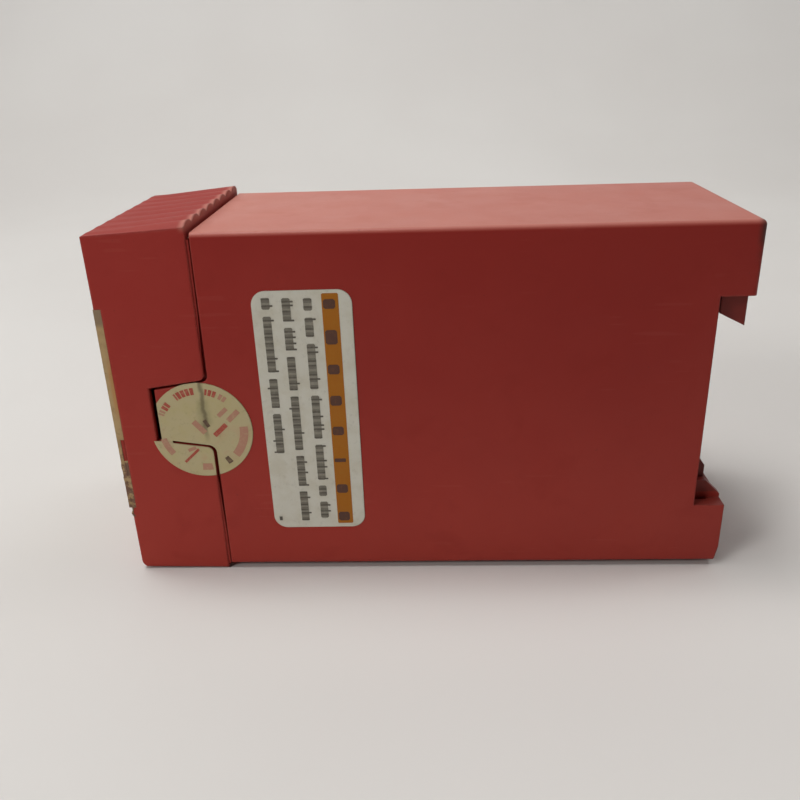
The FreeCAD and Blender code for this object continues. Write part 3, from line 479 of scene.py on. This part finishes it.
MATERIALS = {
    # housing: a paler top, dust with a painted sheen
    "housing_red": moulded_red("housing_red", RED, RED_LIGHTER, DUST_AND_SHEEN, top_share=0.42,
                               roughness=0.46, grain=0.30, worn_and_lit_edge=0.45 * MM),
    # cap: a darker top, painted shade
    "cap_red": moulded_red("cap_red", CAP_RED, CAP_RED_LIGHTER, SHADED_TOP_RED, top_share=0.35,
                           roughness=0.62, grain=0.5, worn_and_lit_edge=0.8 * MM),
    # latch: darker reds for painted shade deep in the slot, and painted shade on top
    "latch_red": moulded_red("latch_red", LATCH_SHADED_RED, LATCH_SHADED_RED_LIGHTER, SHADED_TOP_RED, top_share=0.1,
                             roughness=0.5, grain=0.3, worn_and_lit_edge=0.3 * MM),
    "spring_steel": plated_metal("spring_steel", (0.55, 0.55, 0.56), roughness=0.3),
    "plate_tan": plate_film(),
    "label_white": label_paper(),
    "seal_cream": seal_paper(),
    "board_green": solder_mask("board_green"),
    "header_black": plain_plastic("header_black", (0.02, 0.02, 0.02), roughness=0.45),
    "terminal_grey": plain_plastic("terminal_grey", (0.09, 0.095, 0.095), roughness=0.5),
    "cage_nickel": plated_metal("cage_nickel", (0.60, 0.57, 0.50), roughness=0.35),
    "screw_steel": plated_metal("screw_steel", (0.62, 0.61, 0.58), roughness=0.3),
    "led_tinted": clear_part("led_tinted", (0.35, 0.62, 0.30), roughness=0.2, transmission=0.3),
    "light_pipe": clear_part("light_pipe", (0.85, 0.88, 0.83), roughness=0.1, transmission=0.8),
    "relay_body": plain_plastic("relay_body", (0.55, 0.50, 0.36), roughness=0.35),
    "core_iron": laminations("core_iron"),
    "coil_tape": plain_plastic("coil_tape", (0.60, 0.42, 0.06), roughness=0.4),
    "can_blue": plain_plastic("can_blue", (0.02, 0.04, 0.14), roughness=0.3),
    "black_epoxy": plain_plastic("black_epoxy", (0.018, 0.018, 0.02), roughness=0.55),
    "varistor_blue": plain_plastic("varistor_blue", (0.03, 0.10, 0.33), roughness=0.3),
    "fuse_glass": clear_part("fuse_glass", (0.85, 0.88, 0.88), roughness=0.05, transmission=0.9),
    "clip_brass": plated_metal("clip_brass", (0.62, 0.45, 0.18), roughness=0.3),
    "bead_tan": plain_plastic("bead_tan", (0.50, 0.33, 0.16), roughness=0.3),
}


def dress_nodes():
    """Give every CAD node the material of its slot."""
    for part in frame["record"]["subparts"]:
        mesh = frame["nodes"][part["node"]].data
        mesh.materials.clear()
        mesh.materials.append(MATERIALS[part["material_slot"]])


def into_scene(name, shape, material):
    """Turn a bmesh into an object of one material."""
    mesh = bpy.data.meshes.new(name)
    shape.to_mesh(mesh)
    shape.free()
    mesh.materials.clear()
    mesh.materials.append(material)
    made = bpy.data.objects.new(name, mesh)
    bpy.context.scene.collection.objects.link(made)
    return made


# ---------------------------------------------------------------- printed fields, in millimetres
FILM = 0.03 * MM


def printed(name, outlines, place, material):
    """A thin printed piece: flat outlines of (u, v) points, carried by place(u, v, height)."""
    shape = bmesh.new()
    for outline in outlines:
        lower = [shape.verts.new(place(u, v, 0.0)) for u, v in outline]
        upper = [shape.verts.new(place(u, v, FILM)) for u, v in outline]
        shape.faces.new(lower)
        shape.faces.new(upper)
        for i in range(len(outline)):
            j = (i + 1) % len(outline)
            shape.faces.new((lower[i], lower[j], upper[j], upper[i]))
    bmesh.ops.recalc_face_normals(shape, faces=shape.faces)
    piece = into_scene(name, shape, material)
    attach(piece, HOUSING)


def bar(left, right, foot, top, corner=0.0):
    """A rectangle, with cut corners if asked."""
    if corner <= 0:
        return [(left, foot), (right, foot), (right, top), (left, top)]
    return [(left + corner, foot), (right - corner, foot), (right, foot + corner), (right, top - corner),
            (right - corner, top), (left + corner, top), (left, top - corner), (left, foot + corner)]


def turned_bar(u, v, length, width, angle):
    """A bar about a centre, turned anticlockwise by an angle in degrees."""
    cos, sin = math.cos(math.radians(angle)), math.sin(math.radians(angle))
    return [(u + a * cos - b * sin, v + a * sin + b * cos)
            for a, b in bar(-length / 2, length / 2, -width / 2, width / 2)]


def arc(radius, width, start, end, steps=10):
    """A stretch of a ring, from one angle to another in degrees."""
    angles = [math.radians(start + (end - start) * i / steps) for i in range(steps + 1)]
    outer = [((radius + width / 2) * math.cos(a), (radius + width / 2) * math.sin(a)) for a in angles]
    inner = [((radius - width / 2) * math.cos(a), (radius - width / 2) * math.sin(a)) for a in angles]
    return outer + inner[::-1]


def on_near_side(centre, turn, surface_y):
    """Places (u, v) about a centre on the near side: u to the right, v up, turned anticlockwise."""
    cos, sin = math.cos(math.radians(turn)), math.sin(math.radians(turn))

    def place(u, v, height):
        x = centre.x + (u * cos - v * sin) * MM
        z = centre.z + (u * sin + v * cos) * MM
        return Vector((x, surface_y - height, z))
    return place


SIDE_LABEL_TURN = 0.3
WORD_GAP = 1.05
WORD_WIDE = 1.6
STEM_HALF = 0.17
STEM_INSET = 0.16
RISING_SHARE, RISE = 0.35, 0.55
DROPPING_SHARE, DROP = 0.08, 0.45


def words(draw, left, top, foot, lengths):
    """A column of word-like rows: blocks on a paler bar, each with a stem that may stand out."""
    pitch = (top - foot - WORD_GAP * (len(lengths) - 1)) / sum(lengths)
    right = left + WORD_WIDE
    bars, blocks, stems = [], [], []
    v = top
    for length in lengths:
        bars.append(bar(left, right, v - length * pitch + 0.15, v - 0.15, corner=0.25))
        for index in range(length):
            middle = v - (index + 0.5) * pitch
            half = draw.uniform(0.36, 0.48)
            blocks.append(bar(left, right, middle - half, middle + half, corner=0.2))
            stem = middle + draw.choice((-1, 1)) * (half - STEM_INSET)
            rise = RISE if draw.random() < RISING_SHARE else 0.0
            drop = DROP if draw.random() < DROPPING_SHARE else 0.0
            stems.append(bar(left - drop, right + rise, stem - STEM_HALF, stem + STEM_HALF, corner=0.08))
        v -= length * pitch + WORD_GAP
    return bars, blocks, stems


def side_label_print():
    """An orange band with small dark marks, and three columns of word-like bars."""
    place = on_near_side((LABEL_LOW + LABEL_HIGH) / 2, SIDE_LABEL_TURN, LABEL_LOW.y)

    def above(u, v, height):
        return place(u, v, height + FILM)

    def higher(u, v, height):
        return place(u, v, height + 2 * FILM)

    band = bar(left=3.85, right=7.05, foot=-25.0, top=25.2, corner=0.2)
    printed("label_band", [band], place, INK_ORANGE)
    first_mark, mark_pitch = 23.1, 6.63
    marks = []
    for index, tall in enumerate((1.9, 2.9, 2.0, 2.1, 1.9, 0.8, 2.0, 2.1)):
        v = first_mark - mark_pitch * index
        marks.append(bar(4.1, 6.4, v - tall / 2, v + tall / 2, corner=0.35 if tall > 1 else 0.1))
    printed("label_band_marks", marks, above, INK_UMBER)
    draw = random.Random(11)
    columns = (words(draw, left=0.35, top=24.5, foot=-23.8, lengths=(2, 3, 7, 7, 6, 2, 3)),
               words(draw, left=-3.75, top=24.6, foot=-24.4, lengths=(4, 4, 6, 10, 6, 6)),
               words(draw, left=-7.65, top=24.7, foot=-8.4, lengths=(2, 9, 5, 7)))
    bars, blocks, stems = ([row for column in kind for row in column] for kind in zip(*columns))
    foot_mark = bar(left=-8.5, right=-7.9, foot=-24.1, top=-23.2)
    printed("label_word_bars", bars, place, INK_PALE)
    printed("label_word_blocks", blocks, above, INK_GREY)
    printed("label_word_stems", stems + [foot_mark], higher, INK_BLACK)


def seam_flash():
    """Thin flash that narrows the seam beside the cap, widest at the top and at the foot of the near side."""
    middle = (LABEL_LOW.z + LABEL_HIGH.z) / 2 / MM
    top, foot = BODY_HIGH.z / MM - 1.2, BODY_LOW.z / MM + 0.2
    root = -0.05
    sunk = 0.16 * MM

    def place(u, v, height):
        return Vector((SEAM_X + u * MM, BODY_LOW.y + sunk - height, v * MM))

    outlines = []
    for end, toward_end, bend, wide in ((top, 1, 22, 0.46), (foot, -1, 26, 0.48)):
        outlines.append([(root, end), (wide, end), (wide - 0.06, middle + toward_end * bend),
                         (wide - 0.34, middle + toward_end * 14), (root, middle + toward_end * 13)])
    printed("seam_flash", outlines, place, MATERIALS["cap_red"])


def rim_marks(radius, tall, start, end, wide, gap):
    """Short strokes side by side round the seal's rim, between two angles in degrees."""
    marks = []
    angle = start
    while angle < end:
        marks.append(arc(radius, tall, angle, min(angle + wide, end), steps=3))
        angle += wide + gap
    return marks


def seal_print():
    """Short marks round the rim, one long arc, and slanted bars in the middle of the round seal."""
    centre = Vector((SEAL_HIGH.x - SEAL_RADIUS, 0, SEAL_HIGH.z - SEAL_RADIUS))
    place = on_near_side(centre, 0.0, SEAL_LOW.y)
    strong = rim_marks(radius=8.5, tall=1.5, start=95, end=123, wide=5.0, gap=1.4)
    strong += rim_marks(radius=8.4, tall=1.3, start=65, end=80, wide=4.5, gap=1.5)
    strong += rim_marks(radius=8.5, tall=1.4, start=137, end=148, wide=4.5, gap=1.5)
    strong += [turned_bar(3.7, -0.1, length=3.5, width=1.0, angle=43),
               turned_bar(-2.8, -5.8, length=4.3, width=0.55, angle=43)]
    faint = rim_marks(radius=8.4, tall=1.2, start=50, end=61, wide=4.5, gap=1.5)
    faint += rim_marks(radius=8.6, tall=1.2, start=150, end=157, wide=3.0, gap=1.5)
    faint += [arc(radius=8.5, width=1.7, start=-42, end=4, steps=12),
              arc(radius=8.4, width=1.3, start=193, end=219, steps=8),
              arc(radius=8.4, width=1.5, start=264, end=278, steps=4),
              turned_bar(4.5, 3.8, length=2.4, width=0.9, angle=43),
              turned_bar(6.6, 3.0, length=3.1, width=1.1, angle=44),
              turned_bar(-0.5, 0.6, length=3.3, width=1.2, angle=-50),
              turned_bar(-2.6, -4.3, length=1.8, width=0.7, angle=22)]
    brown = [arc(radius=8.3, width=1.6, start=301, end=308, steps=3),
             turned_bar(1.05, 1.4, length=1.7, width=0.8, angle=-62)]
    printed("seal_print_red", strong, place, INK_RED)
    printed("seal_print_faint", faint, place, INK_PINK)
    printed("seal_print_brown", brown, place, INK_BROWN)


def torn_film():
    """The frayed lower end of the plate's film, standing a little proud of the plate's near edge."""
    draw = random.Random(5)
    top = PLATE_LOW.z + 10.5 * MM
    bottom = PLATE_LOW.z - 2.2 * MM
    steps = 16
    outer, inner = [], []
    for step in range(steps + 1):
        share = step / steps
        z = top + (bottom - top) * share
        left = PLATE_LOW.x - draw.uniform(-0.25, 0.22) * MM + share * 0.5 * MM
        narrowing = 1.0 if share < 0.75 else 0.5
        right = left + (0.35 + draw.uniform(0.0, 0.75)) * MM * narrowing
        outer.append((left / MM, z / MM))
        inner.append((right / MM, z / MM))

    def place(u, v, height):
        return Vector((u * MM, PLATE_LOW.y - height, v * MM))
    printed("torn_film", [outer + inner[::-1]], place, MATERIALS["plate_tan"])


def chip_lip():
    """The cap's red lip, seen through the chip in the plate's rear layer."""
    low, high = PLATE_LOW.z + 10.95 * MM, PLATE_LOW.z + 16.05 * MM
    sunk = 0.3 * MM
    films_thick = 8

    def place(u, v, height):
        return Vector((u * MM, PLATE_LOW.y + sunk - height * films_thick, v * MM))
    lip = bar(PLATE_HIGH.x / MM - 0.72, PLATE_HIGH.x / MM, low / MM, high / MM)
    printed("chip_lip", [lip], place, MATERIALS["cap_red"])


def on_front(u, v, height):
    """Places (u, v) on the front plate: u along -Y when seen from the front, v up."""
    return Vector((PLATE_LOW.x - height, -u * MM, (PLATE_LOW.z + PLATE_HIGH.z) / 2 + v * MM))


def front_plate_print():
    """Dark rules above and below, plain fields beside the lamps and short blocks."""
    half, thick = 20.4, 0.4
    rules = [bar(-half, half, half - thick, half), bar(-half, half, -half, -half + thick)]
    fields = [bar(left=-4, right=17.5, foot=9.0, top=16.5, corner=0.4)]
    fields += [bar(left=-9.5, right=-6.5, foot=foot, top=foot + 1.6) for foot in (5.2, -1.3, 11.7)]
    lines = []
    for i in range(4):
        foot = 4.5 - 2.4 * i
        lines.append(bar(left=-4 + 0.6 * i, right=6 + 3.0 * (i % 2), foot=foot, top=foot + 0.9))
    printed("front_plate_print", rules + fields + lines, on_front, INK_BROWN)


# ---------------------------------------------------------------- moving inner parts
def latch_spring_coils():
    """The two coil springs under the latch's wings, copied from their frame node onto the housing; in the
    object they shorten as the latch slides down onto them.
    """
    shape = bmesh.new()
    shape.from_mesh(frame["nodes"]["latch_springs"].data)
    coils = into_scene("latch_spring_coils", shape, MATERIALS["spring_steel"])
    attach(coils, HOUSING)
    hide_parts("latch_springs")
    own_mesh(coils)


# ---------------------------------------------------------------- floor, lamps and camera
FLOOR_HALF_WIDTH = 2.5
FLOOR_NEAR_Y = -1.6
WALL_Y = 0.75
WALL_HEIGHT = 2.2
SWEEP_RADIUS = 0.35
SWEEP_STEP = 6  # degrees


def stage_floor():
    """A pale floor that sweeps up into a pale backdrop."""
    look = Look("pale_floor")
    tone = look.mix(look.ramp(look.noise(3.0, detail=3), 0.35, 0.7), FLOOR_DULL, FLOOR_CLEAN)
    tone = look.mix(look.ramp(look.axis(Z), 0.05, 0.45), tone, BACKDROP)
    material = look.finish(tone, 0.75, look.bump(look.noise(220, detail=3), 0.08, 0.1 * MM))
    profile = [(FLOOR_NEAR_Y, 0.0)]
    for degrees in range(0, 91, SWEEP_STEP):
        angle = math.radians(degrees)
        profile.append((WALL_Y - SWEEP_RADIUS + SWEEP_RADIUS * math.sin(angle),
                        SWEEP_RADIUS - SWEEP_RADIUS * math.cos(angle)))
    profile.append((WALL_Y, WALL_HEIGHT))
    shape = bmesh.new()
    left = [shape.verts.new((-FLOOR_HALF_WIDTH, y, z)) for y, z in profile]
    right = [shape.verts.new((FLOOR_HALF_WIDTH, y, z)) for y, z in profile]
    for i in range(len(profile) - 1):
        face = shape.faces.new((left[i], right[i], right[i + 1], left[i + 1]))
        face.smooth = True
    floor = into_scene("floor", shape, material)


LAMP_TONE = (1.0, 0.99, 0.98)
AMBIENT_STRENGTH = 0.02
RELAY_MIDDLE = (0, 0, 0.03)
BACKDROP_LEFT = (0, WALL_Y, 0.35)
BACKDROP_RIGHT = (0.3, WALL_Y, 0.35)


def area_lamp(name, place, target, size, power):
    """A rectangular lamp that looks at a target; size is its width and height in metres, power in watts."""
    data = bpy.data.lights.new(name, "AREA")
    data.shape = "RECTANGLE"
    data.size, data.size_y = size
    data.energy = power
    data.color = LAMP_TONE
    lamp = bpy.data.objects.new(name, data)
    lamp.location = place
    lamp.rotation_euler = (Vector(target) - Vector(place)).to_track_quat("-Z", "Y").to_euler()
    bpy.context.scene.collection.objects.link(lamp)


def room_light():
    """A pale room as the lens and reflections see it, that adds very little light to the surfaces."""
    world = bpy.data.worlds.new("studio")
    world.use_nodes = True
    nodes, links = world.node_tree.nodes, world.node_tree.links
    faint = nodes["Background"]
    faint.inputs["Strength"].default_value = AMBIENT_STRENGTH
    pale = nodes.new("ShaderNodeBackground")
    pale.inputs["Color"].default_value = (*ROOM_PALE, 1.0)
    rays = nodes.new("ShaderNodeLightPath").outputs
    seen = rays["Is Camera Ray"]
    for kind in ("Is Glossy Ray", "Is Transmission Ray"):
        total = nodes.new("ShaderNodeMath")
        total.operation = "MAXIMUM"
        links.new(seen, total.inputs[0])
        links.new(rays[kind], total.inputs[1])
        seen = total.outputs[0]
    choice = nodes.new("ShaderNodeMixShader")
    links.new(seen, choice.inputs[0])
    links.new(faint.outputs[0], choice.inputs[1])
    links.new(pale.outputs[0], choice.inputs[2])
    links.new(choice.outputs[0], nodes["World Output"].inputs["Surface"])
    bpy.context.scene.world = world


def lamps():
    """A key lamp from the left, a lamp overhead and two that wash the backdrop."""
    area_lamp("key", (-0.60, -0.55, 0.50), RELAY_MIDDLE, size=(0.26, 0.26), power=2.8)
    area_lamp("top", (-0.25, -0.03, 1.0), RELAY_MIDDLE, size=(0.36, 0.36), power=3.75)
    area_lamp("wall_left", (-0.35, 0.15, 1.3), BACKDROP_LEFT, size=(0.9, 0.4), power=6.8)
    area_lamp("wall_right", (0.60, 0.20, 1.3), BACKDROP_RIGHT, size=(0.9, 0.4), power=3.6)


CAMERA_PLACE = Vector((2.43, -170.51, 103.41)) * MM
CAMERA_PITCH = 23.39      # degrees below level
CAMERA_YAW = 2.60         # degrees to the left of +Y
CAMERA_ROLL = -1.89       # degrees about the line of sight
FOCAL_PER_WIDTH = 1.0210  # focal length as a share of the picture's width
SENSOR_WIDTH = 36.0       # millimetres


def camera():
    """The camera, in front of the near side and looking down at it."""
    data = bpy.data.cameras.new("camera")
    data.sensor_width = SENSOR_WIDTH
    data.lens = SENSOR_WIDTH * FOCAL_PER_WIDTH
    data.clip_start = 0.01
    eye = bpy.data.objects.new("camera", data)
    turn = (Matrix.Rotation(math.radians(CAMERA_YAW), 4, "Z")
            @ Matrix.Rotation(math.radians(90 - CAMERA_PITCH), 4, "X")
            @ Matrix.Rotation(math.radians(CAMERA_ROLL), 4, "Z"))
    eye.matrix_world = Matrix.Translation(CAMERA_PLACE) @ turn
    bpy.context.scene.collection.objects.link(eye)
    bpy.context.scene.camera = eye


dress_nodes()
latch_spring_coils()
seam_flash()
side_label_print()
seal_print()
torn_film()
chip_lip()
front_plate_print()
stage_floor()
room_light()
lamps()
camera()
bpy.context.scene.view_settings.view_transform = "Standard"
